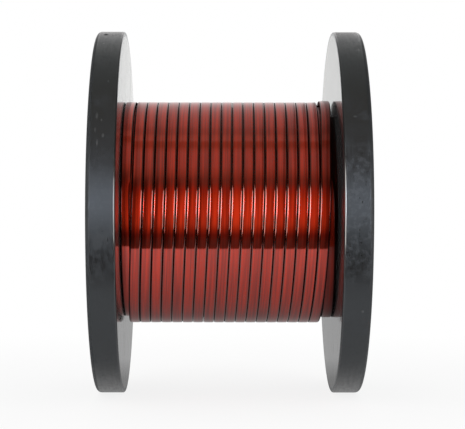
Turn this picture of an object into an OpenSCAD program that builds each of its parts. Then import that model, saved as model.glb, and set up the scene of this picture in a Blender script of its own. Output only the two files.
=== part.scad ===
// Wire spool: two ribbed flanges bolted together through a barrel, wound with flat enamelled wire.
// It lies on its rims. The axis is X, and the origin is the middle of the axis.

/* [Flanges] */
// Diameter of each flange
flange_d = 250; // [246:1:256]
// Thickness of a flange at its rim and hub
rim_t = 18.7; // [18.5:0.1:20]
// Width of the rim's wall, seen from the side
rim_wall = 6.5; // [5:0.5:8]
// Rounding of the rim's outer edge
rim_outer_round = 3; // [1:0.5:4]
// Rounding of the rim's edge on the winding side
rim_inner_round = 1.2; // [0.6:0.2:2]
// Thickness of the disc behind the winding
web_t = 4.5; // [4:0.25:6]
// Diameter of the hub
hub_d = 68; // [64:1:70]
// Ribs between the barrel ring and the rim
outer_ribs = 24; // [12:12:24]
// Ribs between the hub and the barrel ring
inner_ribs = 8; // [8:8:8]
// Thickness of a rib
rib_w = 2.6; // [2:0.2:3]
// How far the ribs stay below the rim
rib_drop = 1.5; // [1:0.5:3]

/* [Barrel] */
// Distance between the flanges' inner faces
traverse = 142.6; // [142.6:0.1:146]
// Diameter of the barrel
barrel_d = 125; // [123:1:125]
// Wall of the barrel
barrel_wall = 4; // [3:0.5:5]
// Depth of the groove that seats the barrel's end
seat_depth = 2.5; // [1.5:0.5:3]
// Thickness of the paper round the barrel
liner_t = 0.8; // [0.4:0.1:1]

/* [Arbor] */
// Bore of the steel bushes
bore_d = 30; // [25:1:32]
// Outside diameter of the bushes
bush_d = 38; // [36:1:38]
// Diameter of a bush's collar
collar_d = 50; // [46:1:54]
// Wall of the tube between the bushes
arbor_wall = 3; // [2:0.5:4]

/* [Fastenings] */
// Diameter of the tie rods
rod_d = 8; // [6:1:8]
// Circle that the tie rods and the drive holes lie on
rod_circle_d = 92; // [90:1:94]
// Diameter of the drive holes
drive_d = 16; // [12:1:18]
// Width of a nut across its flats
nut_af = 13; // [12:0.5:14]
// Height of a nut
nut_h = 6.5; // [5:0.5:6.5]
// Diameter of a washer
washer_d = 16; // [14:1:17]
// Thickness of a washer
washer_t = 1.6; // [1:0.2:2]

/* [Winding] */
// Diameter over the outer layer
winding_d = 153.4; // [153:0.1:156]
// Width of the flat wire
wire_w = 6.7; // [6.5:0.05:6.8]
// Thickness of the flat wire
wire_t = 3.3; // [3.1:0.1:3.4]
// Distance from one turn to the next
wire_pitch = 7.256; // [7.25:0.002:7.26]
// Part of the pitch that the wire steps aside at the lower front
wire_jog = 3.55; // [3:0.05:4]
// Gap between the first full turn and the flange, at the top
first_gap = 1.53; // [1.5:0.01:1.6]
// How far the last turn is lifted at the top
last_lift = 1; // [0:0.1:1.2]
// How far the last turn is pushed aside at the top
last_push = 0.86; // [0:0.02:1]

/* [Hidden] */

$fn = 96;

// Shared clearances
fit = 0.05;
slack = 0.1;

// Flange
flange_r = flange_d / 2;
half = traverse / 2;
rim_in_r = flange_r - rim_wall;
rib_top = rim_t - rib_drop;
rib_step = 0.6;
hub_r = hub_d / 2;
bush_r = bush_d / 2;
collar_r = collar_d / 2;
collar_t = 3;
collar_recess = 0.3;
bush_inset = 6;
bush_chamfer = 0.8;
tube_r = bush_r + arbor_wall;
tube_seat = 3;

// Barrel and its seat in the flange
barrel_r = barrel_d / 2;
barrel_in_r = barrel_r - barrel_wall;
spigot_wall = 4;
spigot_h = 8;
ring_w = 3;
liner_r = barrel_r + slack + liner_t;

// Tie rods and drive holes
rod_r = rod_d / 2;
rod_circle_r = rod_circle_d / 2;
rod_angles = [45, 135, 225, 315];
boss_r = 11;
boss_h = 8;
rod_proud = 2;
drive_wall = 3;
drive_angles = [0, 180];

// Slot for the wire's start, in the pocket between two ribs
slot_angle = 112.5;
slot_from_r = barrel_r + 1.3;
slot_to_r = slot_from_r + 6.4;
slot_w = wire_w + 1.8;

// Outer layer of turns. Angles are in degrees about the axis: 0 at the front, 90 at the top.
ring_step = 15;
wind_start = -80;
wind_rings = 451;
full_turns = 18;
jog_from = -85;
jog_to = 25;
climb_from = 4;
climb_to = 60;
side_gap = 0.45;
under_gap = 0.9;
edge_cut = 0.8;
chord_fit = 2 / (1 + cos(ring_step / 2));
wind_r = winding_d / 2;
floor_r = wind_r - wire_t;
low_drop = wire_t + under_gap;
drift = wire_pitch - wire_jog;
first_x = first_gap + wire_w / 2 - half;
low_x = side_gap + wire_w / 2 - half;
last_turn = 360 * full_turns;
section = [
    [-wire_w / 2, 0], [wire_w / 2, 0],
    [wire_w / 2, wire_t - edge_cut], [wire_w / 2 - edge_cut, wire_t],
    [edge_cut - wire_w / 2, wire_t], [-wire_w / 2, wire_t - edge_cut]
];
sides = len(section);

// Plain core of the inner layers
core_r = floor_r * chord_fit * cos(ring_step / 2) - 0.15;
core_end = 0.1;
core_crevice = 1.9;
core_crevice_depth = wire_t;
groove_r = (floor_r - low_drop) * chord_fit * cos(ring_step / 2) - 0.15;
groove_x = [-half, low_x + wire_w / 2 + 0.3];

// Tail of the wire's start, bent flat against the flange
tail_bend = 4.65;
tail_reach = 15;
tail_lift = 0.3;
tail_r = slot_from_r + 0.4 + wire_t / 2;

// Tape over the wire's end, at the back
tape_from = 168;
tape_angle = 58;
tape_w = 26;
tape_t = 0.5;
tape_r = wind_r * chord_fit + 0.15;
tape_to_x = half - 1;

// Smooth step from 0 to 1
function ease(t) = let (u = min(max(t, 0), 1)) u * u * (3 - 2 * u);

// Steps aside made so far, one in each turn
function jogs(a) =
    let (turn = floor((a - jog_from) / 360))
    turn + ease((a - 360 * turn - jog_from) / (jog_to - jog_from));

// Middle of the wire along the axis at an angle
function lay_x(a) =
    let (
        steady = first_x + drift * (a - 90) / 360 + wire_jog * (jogs(a) - 1),
        push = last_push * ease((a - last_turn - 20) / 60)
    )
    max(steady + push, low_x);

// Radius of the wire's inner face at an angle
function lay_r(a) =
    let (
        climb = low_drop * (1 - ease((a - climb_from) / (climb_to - climb_from))),
        rise = ease((a - last_turn - 20) / 70),
        fall = ease((a - last_turn - 95) / 60)
    )
    floor_r - climb + last_lift * (rise - fall);

// One ring of points round the wire; ahead moves it straight on along the wire
function wire_ring(a, ahead = 0) = [
    for (p = section)
        let (r = (lay_r(a) + p[1]) * chord_fit)
        [
            lay_x(a) + p[0],
            -r * cos(a) + ahead * sin(a),
            r * sin(a) + ahead * cos(a)
        ]
];

wind_end = wind_start + ring_step * wind_rings;
wire_rings = concat(
    [wire_ring(wind_start, -wire_w)],
    [for (i = [0:wind_rings]) wire_ring(wind_start + ring_step * i)],
    [wire_ring(wind_end, wire_w)]
);

// Least distance between the points of neighbouring turns
loop_rings = 360 / ring_step;
least_gap = min([
    for (i = [0:len(wire_rings) - loop_rings], j = [loop_rings - 1:loop_rings + 1])
        if (i + j < len(wire_rings))
            for (p = wire_rings[i], q = wire_rings[i + j]) norm(p - q)
]);
echo(least_gap_between_turns_mm = least_gap);

// Places a child that is modelled with +Z pointing out of a flange, from its inner face
module on_flange(side) {
    translate([side * half, 0, 0]) rotate([0, 90 * side, 0]) children();
}

// Takes the corner off a square corner at the origin, whose inside is at -X and -Y
module round_corner(r) {
    difference() {
        translate([-r, -r]) square(2 * r);
        translate([-r, -r]) circle(r);
    }
}

module ring(outer, inner, h) {
    difference() {
        cylinder(r = outer, h = h);
        translate([0, 0, -1]) cylinder(r = inner, h = h + 2);
    }
}

// Half section of the rim, with rounded edges
module rim_section() {
    difference() {
        translate([rim_in_r, 0]) square([rim_wall, rim_t]);
        translate([flange_r, rim_t]) round_corner(rim_outer_round);
        translate([flange_r, 0]) mirror([0, 1]) round_corner(rim_inner_round);
        translate([rim_in_r, rim_t]) mirror([1, 0]) round_corner(rim_inner_round);
    }
}

// Half section of everything on the flange that is turned round the axis
module flange_section() {
    rim_section();
    translate([bush_r, 0]) square([rim_in_r - bush_r + 1, web_t]);
    translate([bush_r, 0]) square([hub_r - bush_r, rim_t]);
    translate([barrel_r - ring_w, 0]) square([ring_w, rib_top]);
    translate([barrel_in_r - fit - spigot_wall, -spigot_h]) square([spigot_wall, spigot_h + 1]);
}

// Ribs that run outwards from one radius to another
module ribs(count, from_r, to_r, first = 0) {
    for (i = [0:count - 1])
        rotate(first + 360 * i / count)
            translate([from_r, -rib_w / 2, web_t / 2])
                cube([to_r - from_r, rib_w, rib_top - rib_step - web_t / 2]);
}

// Places a child at each angle on the tie rods' circle
module on_circle(angles) {
    for (a = angles) rotate(a) translate([rod_circle_r, 0, 0]) children();
}

module flange_solid() {
    rotate_extrude() flange_section();
    ribs(outer_ribs, barrel_r - 1, rim_in_r + 1);
    ribs(inner_ribs, hub_r - 1, barrel_r - 1, first = 180 / inner_ribs);
    translate([0, 0, web_t / 2]) {
        on_circle(rod_angles) cylinder(r = boss_r, h = boss_h - web_t / 2);
        on_circle(drive_angles) cylinder(r = drive_d / 2 + drive_wall, h = rib_top - web_t / 2);
    }
}

module flange() {
    difference() {
        flange_solid();
        // Seats of the barrel, the arbor tube and the bush's collar
        translate([0, 0, -1]) ring(barrel_r + fit, barrel_in_r - fit, seat_depth + 1);
        translate([0, 0, -1]) cylinder(r = tube_r + fit, h = tube_seat + 1);
        translate([0, 0, rim_t - collar_t - collar_recess]) cylinder(r = collar_r + fit, h = collar_t + 1);
        // Holes for the tie rods and for a driver's pins
        on_circle(rod_angles) translate([0, 0, -1]) cylinder(r = rod_r + 0.3, h = rim_t);
        on_circle(drive_angles) translate([0, 0, -1]) cylinder(r = drive_d / 2, h = rim_t + 2);
        // Slot for the wire's start
        rotate(slot_angle)
            translate([slot_from_r, -slot_w / 2, -1]) cube([slot_to_r - slot_from_r, slot_w, web_t + 2]);
    }
}

module left_flange() { color("#2b2d2f") on_flange(-1) flange(); }
module right_flange() { color("#2b2d2f") on_flange(1) flange(); }

module barrel() {
    length = traverse + 2 * seat_depth;
    color("#3a3c3e") translate([-length / 2, 0, 0]) rotate([0, 90, 0]) ring(barrel_r, barrel_in_r, length);
}

module barrel_liner() {
    color("#b08a5a")
        translate([-half + slack, 0, 0]) rotate([0, 90, 0])
            ring(liner_r, barrel_r + slack, traverse - 2 * slack);
}

module arbor_tube() {
    length = traverse + 2 * tube_seat;
    color("#8d9094") translate([-length / 2, 0, 0]) rotate([0, 90, 0]) ring(tube_r, bush_r, length);
}

// Flanged steel bush, with its collar outside
module arbor_bush() {
    top = rim_t - collar_recess;
    difference() {
        union() {
            translate([0, 0, -bush_inset]) cylinder(r = bush_r - fit, h = bush_inset + top);
            translate([0, 0, top - collar_t]) cylinder(r = collar_r, h = collar_t);
        }
        translate([0, 0, -bush_inset - 1]) cylinder(r = bore_d / 2, h = bush_inset + top + 2);
        translate([0, 0, top - bush_chamfer])
            cylinder(r1 = bore_d / 2, r2 = bore_d / 2 + 2 * bush_chamfer, h = 2 * bush_chamfer);
    }
}

module left_arbor_bush() { color("#a9acb0") on_flange(-1) arbor_bush(); }
module right_arbor_bush() { color("#a9acb0") on_flange(1) arbor_bush(); }

module tie_rod(i) {
    reach = half + boss_h + washer_t + nut_h + rod_proud;
    color("#b9bbbd")
        rotate([rod_angles[i], 0, 0]) translate([-reach, 0, rod_circle_r]) rotate([0, 90, 0])
            cylinder(r = rod_r, h = 2 * reach);
}

module washers() {
    on_circle(rod_angles) translate([0, 0, boss_h]) ring(washer_d / 2, rod_r + 0.25, washer_t);
}

module nuts() {
    on_circle(rod_angles)
        translate([0, 0, boss_h + washer_t])
            difference() {
                cylinder(d = nut_af / cos(30), h = nut_h, $fn = 6);
                translate([0, 0, -1]) cylinder(r = rod_r + fit, h = nut_h + 2);
            }
}

module left_washers() { color("#c4c6c8") on_flange(-1) washers(); }
module right_washers() { color("#c4c6c8") on_flange(1) washers(); }
module left_nuts() { color("#c4c6c8") on_flange(-1) nuts(); }
module right_nuts() { color("#c4c6c8") on_flange(1) nuts(); }

// Turns a child so that +Z points outwards at an angle and +Y runs on over the top
module around(angle) {
    rotate([90 - angle, 0, 0]) children();
}

// Part of a ring about the axis, from one angle on through another
module sector(from, angle, x_range, r_range) {
    around(from) rotate([0, -90, 0])
        rotate_extrude(angle = angle)
            translate([r_range[0], -x_range[1]])
                square([r_range[1] - r_range[0], x_range[1] - x_range[0]]);
}

module inner_layers() {
    end = half - core_end;
    color("#6e1d14")
        difference() {
            translate([-end, 0, 0]) rotate([0, 90, 0]) ring(core_r, liner_r + slack, 2 * end);
            // Crevice beside the layer under the outer one, at the right flange
            translate([half - core_crevice, 0, 0]) rotate([0, 90, 0])
                ring(core_r + 1, core_r - core_crevice_depth, core_crevice);
            // Groove that the wire climbs out of, at the left flange
            sector(wind_start, climb_to - wind_start, groove_x, [groove_r, core_r + 1]);
            around(wind_start)
                translate([groove_x[0], -wire_w, groove_r])
                    cube([groove_x[1] - groove_x[0], wire_w + 1, core_r + 1 - groove_r]);
        }
}

// The outer layer: one unbroken flat wire
module outer_layer() {
    last = len(wire_rings) - 1;
    side_faces = [
        for (i = [0:last - 1], j = [0:sides - 1])
            let (
                a = sides * i + j,
                b = sides * i + (j + 1) % sides
            )
            each [[a, b, b + sides], [a, b + sides, a + sides]]
    ];
    start_cap = [for (j = [1:sides - 2]) [0, j + 1, j]];
    end_cap = [for (j = [1:sides - 2]) [sides * last, sides * last + j, sides * last + j + 1]];
    color("#9c2a1e")
        polyhedron(
            points = [for (r = wire_rings, p = r) p],
            faces = concat(side_faces, start_cap, end_cap)
        );
}

// The wire's start, out through the flange's slot and bent flat on the web
module start_tail() {
    bend_r = tail_r + tail_bend;
    bend_z = web_t + tail_lift + wire_t / 2 - tail_bend;
    color("#9c2a1e") on_flange(1) rotate(slot_angle) {
        translate([tail_r - wire_t / 2, -wire_w / 2, -core_end])
            cube([wire_t, wire_w, bend_z + core_end]);
        translate([bend_r, 0, bend_z]) rotate([90, 0, 0]) rotate(90)
            rotate_extrude(angle = 90)
                translate([tail_bend - wire_t / 2, -wire_w / 2]) square([wire_t, wire_w]);
        translate([bend_r, -wire_w / 2, web_t + tail_lift]) cube([tail_reach, wire_w, wire_t]);
    }
}

module end_tape() {
    color("#c9a46a")
        sector(tape_from, tape_angle, [tape_to_x - tape_w, tape_to_x], [tape_r, tape_r + tape_t]);
}

left_flange();
right_flange();
barrel();
barrel_liner();
arbor_tube();
left_arbor_bush();
right_arbor_bush();
tie_rod(0);  // tie_rod_1
tie_rod(1);  // tie_rod_2
tie_rod(2);  // tie_rod_3
tie_rod(3);  // tie_rod_4
left_washers();
right_washers();
left_nuts();
right_nuts();
inner_layers();
outer_layer();
start_tail();
end_tape();
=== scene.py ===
"""Looks of the wire spool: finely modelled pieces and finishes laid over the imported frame.

Lengths are in millimetres until a mesh is made, and MM turns them into the frame's metres.
The spool's axis is X. Angles round it are in degrees: 0 at the front, 90 at the top.
"""

import logging
import math
from dataclasses import dataclass
from enum import Enum
from typing import Callable, ClassVar, Iterable, Optional, Sequence, Union

import bmesh
import bpy
import numpy as np
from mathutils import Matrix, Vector
from mathutils.geometry import delaunay_2d_cdt


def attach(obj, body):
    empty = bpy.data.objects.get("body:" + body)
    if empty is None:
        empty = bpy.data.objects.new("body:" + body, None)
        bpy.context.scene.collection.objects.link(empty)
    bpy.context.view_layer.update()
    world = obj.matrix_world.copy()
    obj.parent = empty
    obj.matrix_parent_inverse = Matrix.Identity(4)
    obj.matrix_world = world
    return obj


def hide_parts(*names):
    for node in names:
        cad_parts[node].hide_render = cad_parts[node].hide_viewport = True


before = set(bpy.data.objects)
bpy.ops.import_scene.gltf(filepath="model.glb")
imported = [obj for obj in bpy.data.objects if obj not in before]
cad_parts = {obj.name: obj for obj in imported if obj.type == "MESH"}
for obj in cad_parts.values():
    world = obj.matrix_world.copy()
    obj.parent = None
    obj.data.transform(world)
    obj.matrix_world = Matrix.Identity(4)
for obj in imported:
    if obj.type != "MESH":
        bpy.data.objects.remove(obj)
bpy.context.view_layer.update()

MM = 0.001
BODY = "root"
FULL_TURN = 360.0
TOP = 90.0
HALF_TRAVERSE = 71.3
FLANGE_RADIUS = 125.0
ROD_ANGLES = (45, 135, 225, 315)
DRIVE_ANGLES = (0, 180)
ROD_CIRCLE = 46.0
SLOT_ANGLE = 112.5
WHITE = (1.0, 1.0, 1.0)
log = logging.getLogger("wire_spool")

Point2 = tuple[float, float]
Point3 = tuple[float, float, float]
Colour = tuple[float, float, float]

# A small mark on a rim: its place in millimetres and degrees, its width and its length.
Mark = tuple[float, float, float, float]

# A noise: blobs in each unit of length, finer layers, and how strong these are.
Grain = tuple[float, float, float]


# ---------------------------------------------------------------------------------------------
# Shader expressions
# ---------------------------------------------------------------------------------------------


class Signal:
    """A number, colour or shader on a node's output, usable in plain Python expressions."""

    def __init__(self, graph: "Graph", socket: bpy.types.NodeSocket) -> None:
        """Keeps the graph and the output socket."""
        self.graph = graph
        self.socket = socket

    def maths(self, operation: str, first: "Value", second: "Value" = 0.0) -> "Signal":
        """Adds one Math node.

        Args:
            operation: The node's operation.
            first: The left value.
            second: The right value.

        Returns:
            The node's result.
        """
        return self.graph.node("ShaderNodeMath", {"operation": operation}, {0: first, 1: second})

    def __add__(self, other: "Value") -> "Signal":
        """self + other."""
        return self.maths("ADD", self, other)

    def __radd__(self, other: "Value") -> "Signal":
        """other + self."""
        return self.maths("ADD", other, self)

    def __sub__(self, other: "Value") -> "Signal":
        """self - other."""
        return self.maths("SUBTRACT", self, other)

    def __rsub__(self, other: "Value") -> "Signal":
        """other - self."""
        return self.maths("SUBTRACT", other, self)

    def __mul__(self, other: "Value") -> "Signal":
        """self * other."""
        return self.maths("MULTIPLY", self, other)

    def __rmul__(self, other: "Value") -> "Signal":
        """other * self."""
        return self.maths("MULTIPLY", other, self)

    def __truediv__(self, other: "Value") -> "Signal":
        """self / other."""
        return self.maths("DIVIDE", self, other)

    def __rtruediv__(self, other: "Value") -> "Signal":
        """other / self."""
        return self.maths("DIVIDE", other, self)

    def __pow__(self, other: "Value") -> "Signal":
        """self to the power of other."""
        return self.maths("POWER", self, other)

    def __neg__(self) -> "Signal":
        """0 - self."""
        return self.maths("SUBTRACT", 0.0, self)

    def __abs__(self) -> "Signal":
        """The value without its sign."""
        return self.maths("ABSOLUTE", self)

    def rising(self, low: float, high: float) -> "Signal":
        """A smooth step from 0 at low to 1 at high. With low above high it falls instead.

        Args:
            low: Where the step is 0.
            high: Where the step is 1.

        Returns:
            The step, from 0 to 1.
        """
        ends = {1: low, 2: high, 3: 0.0, 4: 1.0}
        if low > high:
            ends = {1: high, 2: low, 3: 1.0, 4: 0.0}
        return self.graph.node(
            "ShaderNodeMapRange", {"interpolation_type": "SMOOTHSTEP"}, {0: self, **ends}
        )


Value = Union[Signal, float, int]


class Graph:
    """The nodes of one material or of the world."""

    def __init__(self, owner: Union[bpy.types.Material, bpy.types.World]) -> None:
        """Empties the owner's node tree and keeps it.

        Args:
            owner: What the nodes belong to.
        """
        owner.use_nodes = True
        self.tree = owner.node_tree
        self.tree.nodes.clear()

    def node(
        self,
        kind: str,
        settings: Optional[dict] = None,
        inputs: Optional[dict] = None,
        output: Union[int, str] = 0,
    ) -> Signal:
        """Adds a node, sets it up and fills its sockets.

        Args:
            kind: The node's type.
            settings: Its own settings. "stops" are a colour ramp's (position, colour) pairs.
            inputs: Values or links of its sockets, by index or by name.
            output: The socket to return.

        Returns:
            The chosen output.
        """
        made = self.tree.nodes.new(kind)
        for key, value in (settings or {}).items():
            if key == "stops":
                self._stops(made.color_ramp, value)
            else:
                setattr(made, key, value)
        for key, value in (inputs or {}).items():
            if isinstance(value, Signal):
                self.tree.links.new(value.socket, made.inputs[key])
            else:
                made.inputs[key].default_value = value
        return Signal(self, made.outputs[output] if made.outputs else None)

    @staticmethod
    def _stops(ramp: bpy.types.ColorRamp, stops: Sequence[tuple[float, Colour]]) -> None:
        """Sets a ramp's stops.

        Args:
            ramp: The colour ramp.
            stops: Positions from 0 to 1 with their colours, in order.
        """
        while len(ramp.elements) < len(stops):
            ramp.elements.new(0.5)
        for element, (position, colour) in zip(ramp.elements, stops):
            element.position = position
            element.color = (*colour, 1.0)

    def mix(self, share: Value, first: object, second: object) -> Signal:
        """Mixes two colours.

        Args:
            share: How much of the second there is, from 0 to 1.
            first: The colour or link at 0.
            second: The colour or link at 1.

        Returns:
            The mixed colour.
        """
        first, second = (c if isinstance(c, Signal) else (*c, 1.0) for c in (first, second))
        return self.node(
            "ShaderNodeMix", {"data_type": "RGBA"}, {0: share, 6: first, 7: second}, output=2
        )

    def vector(self, operation: str, first: object, second: object) -> Signal:
        """Adds one Vector Math node on two vectors."""
        return self.node("ShaderNodeVectorMath", {"operation": operation}, {0: first, 1: second})

    def scaled(self, vector: object, factor: Value) -> Signal:
        """A vector or colour times a number."""
        return self.node("ShaderNodeVectorMath", {"operation": "SCALE"}, {0: vector, 3: factor})

    def point(self, x: Value, y: Value, z: Value) -> Signal:
        """Joins three numbers into a vector."""
        return self.node("ShaderNodeCombineXYZ", inputs={0: x, 1: y, 2: z})

    def parts(self, vector: Signal) -> tuple[Signal, Signal, Signal]:
        """Splits a vector into its three numbers."""
        split = self.node("ShaderNodeSeparateXYZ", inputs={0: vector})
        return tuple(Signal(self, socket) for socket in split.socket.node.outputs)

    def rays(self, *kinds: str) -> list[Signal]:
        """1 where a surface is seen by each of these kinds of ray, such as "Camera", else 0."""
        path = self.node("ShaderNodeLightPath").socket.node
        return [Signal(self, path.outputs[f"Is {kind} Ray"]) for kind in kinds]

    def facing(self) -> Signal:
        """0 where a surface is seen head on, rising to 1 where it is seen edge on."""
        return self.node("ShaderNodeLayerWeight", inputs={"Blend": 0.5}, output="Facing")

    def position(self) -> Signal:
        """The place on the piece, in metres."""
        return self.node("ShaderNodeTexCoord", output="Object")

    def polar(self) -> tuple[Signal, Signal, Signal]:
        """The place on the piece round the axis.

        Returns:
            The place along the axis and the radius in millimetres, and the angle in radians.
        """
        x, y, z = self.parts(self.position())
        radius = (y * y + z * z) ** 0.5
        return x / MM, radius / MM, x.maths("ARCTAN2", z, -y)

    def attribute(self, name: str) -> Signal:
        """A number stored at the mesh's points."""
        return self.node("ShaderNodeAttribute", {"attribute_name": name}, output="Fac")

    def noise(self, place: Signal, grain: Grain) -> Signal:
        """Smooth noise, centred on 0.5.

        Args:
            place: The point to read it at.
            grain: Its scale, its finer layers and their strength.

        Returns:
            The noise, from 0 to 1.
        """
        scale, detail, rough = grain
        values = {"Vector": place, "Scale": scale, "Detail": detail, "Roughness": rough}
        return self.node("ShaderNodeTexNoise", inputs=values)

    def bump(self, height: Signal, depth: float) -> Signal:
        """Turns a height from 0 to 1 into a normal, with its full depth in metres."""
        values = {"Strength": 1.0, "Distance": depth, "Height": height}
        return self.node("ShaderNodeBump", inputs=values)

    def finish(self, shader: Signal) -> None:
        """Ends a material with one shader."""
        self.node("ShaderNodeOutputMaterial", inputs={"Surface": shader})


# ---------------------------------------------------------------------------------------------
# Finishes
# ---------------------------------------------------------------------------------------------


@dataclass(frozen=True)
class Finish:
    """A finish that a piece is dressed in. Each kind paints its own nodes."""

    name: str

    def material(self) -> bpy.types.Material:
        """Makes the material, once for each name.

        Returns:
            The material.
        """
        known = bpy.data.materials.get(self.name)
        if known is not None:
            return known
        made = bpy.data.materials.new(self.name)
        graph = Graph(made)
        graph.finish(graph.node("ShaderNodeBsdfPrincipled", inputs=self.paint(graph)))
        return made

    def paint(self, graph: Graph) -> dict:
        """Paints the finish.

        Args:
            graph: The material's nodes.

        Returns:
            The values and links of the shader's sockets.
        """
        raise NotImplementedError


@dataclass(frozen=True)
class MouldedPlastic(Finish):
    """Black moulded plastic, scuffed and worn, with a painted highlight over the front of the rims
    and a painted shade along their inner edge.
    """

    colour: Colour = (0.0117, 0.0132, 0.0146)
    # Paler worn plastic, also used for the painted highlight over the front of the rims.
    worn_and_highlight_grey: Colour = (0.034, 0.037, 0.041)
    # Near-black for the real nicks and for the painted shade along the rim's inner edge.
    nick_and_shade_black: Colour = (0.004, 0.004, 0.004)
    chipped: Colour = (0.055, 0.058, 0.060)
    roughness: float = 0.38
    scuffed: float = 0.2
    relief: float = 0.00006

    # In millimetres: the inner face, the tread, where the painted shade begins and the outer
    # corner.
    face: float = HALF_TRAVERSE
    rim: float = FLANGE_RADIUS
    border: float = 121.0
    outside: float = 87.2

    clouds: Grain = (38.0, 4.0, 0.62)
    scuffs: Grain = (90.0, 5.0, 0.7)
    mottle: Grain = (280.0, 5.0, 0.72)
    specks: Grain = (420.0, 3.0, 0.7)
    grain: Grain = (900.0, 2.0, 0.5)
    swirls: Grain = (1.0, 4.0, 0.6)
    smears: Grain = (1.0, 3.0, 0.6)
    chips: tuple[Mark, ...] = (
        (-83.6, 29.0, 1.0, 3.2), (-80.6, 27.6, 0.7, 1.2), (-84.4, 24.4, 0.7, 2.2),
        (-79.4, 22.6, 1.2, 2.0), (-82.9, 20.4, 0.9, 3.0), (-83.0, 63.0, 0.7, 1.0),
        (84.0, -30.0, 1.2, 1.4), (86.4, 66.0, 1.0, 4.5), (85.2, 58.5, 0.9, 3.0),
        (79.0, 29.0, 1.6, 0.7), (73.6, 71.0, 1.4, 3.0), (-77.6, 42.0, 0.5, 1.6),
    )
    nicks: tuple[Mark, ...] = (
        (-83.0, 73.5, 1.9, 4.4), (74.8, -9.6, 0.9, 1.4), (74.4, -12.4, 0.8, 1.6),
        (-75.6, -8.0, 0.8, 2.4), (80.6, -5.0, 0.7, 1.0), (82.4, 3.0, 0.6, 1.1),
    )

    def paint(self, graph: Graph) -> dict:
        """Paints the finish.

        Args:
            graph: The material's nodes.

        Returns:
            The values and links of the shader's sockets.
        """
        place = graph.position()
        x, radius, angle = graph.polar()
        front, right = abs(angle), x.rising(-1, 1)
        clouds = graph.noise(place, self.clouds)
        grain = graph.noise(place, self.grain)
        specks = graph.noise(place, self.specks).rising(0.66, 0.74)
        mottle = graph.noise(place, self.mottle)
        scuffs = (graph.noise(place, self.scuffs) * clouds).rising(0.27, 0.42)
        swirl = graph.noise(graph.point(x * 0.12, radius * 0.05, angle * 9.0), self.swirls)
        smears = graph.noise(graph.point(x * 0.55, angle * 9.0, 0.0), self.smears)
        chips, nicks = self.marks(x, angle)
        face = abs(x).rising(self.face + 1.0, self.face + 0.3)
        # Painted shade: a black band without gloss along the outer edge of the inner face,
        # strongest at the front.
        painted_rim_shade = self.painted_rim_shade(x, radius, front)
        corner = abs(x).rising(self.outside, self.outside + 0.8)
        # Painted highlight and wear: paler mottle over the front of the rims, more on the right
        # one.
        front_scuff_and_highlight = front.rising(0.42, 0.25) * (0.3 + right * 0.7)
        wear_and_highlight = scuffs * 0.36 + specks * 0.4 + front_scuff_and_highlight * mottle.rising(0.48, 0.60) * 0.9
        body = graph.mix(wear_and_highlight, self.colour, self.worn_and_highlight_grey)
        body = graph.mix(chips, body, self.chipped)
        rough = self.roughness + scuffs * self.scuffed
        rough = rough + corner * (0.12 + x.rising(1, -1) * 0.2)
        rough = rough + (mottle - 0.5) * (0.35 + front_scuff_and_highlight * 0.2) + (smears - 0.5) * 0.35
        rough = rough * (1 - face * 0.75) + painted_rim_shade * 0.5 + nicks * 0.5 + (swirl - 0.5) * 0.05
        height = grain * 0.10 + clouds * 0.5 + specks * 0.3 + swirl * 0.3 + mottle * 0.12
        edge = self.fillet(x, radius, front) * (1 - painted_rim_shade)
        facing = graph.facing()
        upper = angle.rising(-1.0, 1.0) * (0.38 + right * 0.14)
        gloss = facing.rising(0.42, 0.80) * 0.55 + facing.rising(0.66, 0.90) * upper
        gloss = gloss * (1 - face) * (1 - corner * 0.6) * (1 - nicks)
        return {
            # The real nicks and the painted shade both take the near-black colour, and metallic
            # black gives the painted shade no shine.
            "Base Color": graph.mix(painted_rim_shade.maths("MAXIMUM", painted_rim_shade, nicks), body, self.nick_and_shade_black),
            "Metallic": painted_rim_shade,
            "Roughness": rough,
            "IOR": 1.60,
            "Specular Tint": (0.90, 0.95, 1.0, 1.0),
            "Sheen Weight": 0.03,
            "Sheen Roughness": 0.35,
            "Coat Weight": edge.maths("MAXIMUM", edge, gloss),
            "Coat Roughness": 0.09,
            "Coat IOR": 2.3,
            "Normal": graph.bump(height + (chips - nicks) * 2.0, self.relief),
        }

    def painted_rim_shade(self, x: Signal, radius: Signal, front: Signal) -> Signal:
        """A painted shade, black and without gloss, in the last millimetres of the inner face,
        most of it at the front.

        Args:
            x: The place along the axis, in millimetres.
            radius: The distance from the axis, in millimetres.
            front: The angle away from the front, in radians.

        Returns:
            How much of it there is, from 0 to 1.
        """
        ring = radius.rising(self.border, self.border + 2.0)
        ring = ring * abs(x).rising(self.face + 0.4, self.face + 0.2)
        return ring * (0.25 + front.rising(0.9, 0.4) * 0.6)

    def fillet(self, x: Signal, radius: Signal, front: Signal) -> Signal:
        """The rounding between rim and inner face, polished by hands at the front.

        Args:
            x: The place along the axis, in millimetres.
            radius: The distance from the axis, in millimetres.
            front: The angle away from the front, in radians.

        Returns:
            How glossy it is, from 0 to 1.
        """
        edge = radius.rising(self.border + 1.8, self.border + 2.8)
        edge = edge * abs(x).rising(self.face + 1.4, self.face + 0.9)
        return edge * (0.12 + front.rising(0.33, 0.21) * 0.72)

    def marks(self, x: Signal, angle: Signal) -> tuple[Signal, Signal]:
        """Small pale chips and dark nicks at their places on the rims.

        Args:
            x: The place along the axis, in millimetres.
            angle: The angle round it, in radians.

        Returns:
            How much of a chip and of a nick there is, from 0 to 1.
        """
        found = []
        for marks in (self.chips, self.nicks):
            total = 0.0
            for place, turn, width, length in marks:
                across = (x - place) / width
                around = (angle - math.radians(turn)) * (self.rim / length)
                away = (across * across + around * around) ** 0.5
                total = away.rising(1.0, 0.3) + total
            found.append(total)
        return found[0], found[1]


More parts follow.
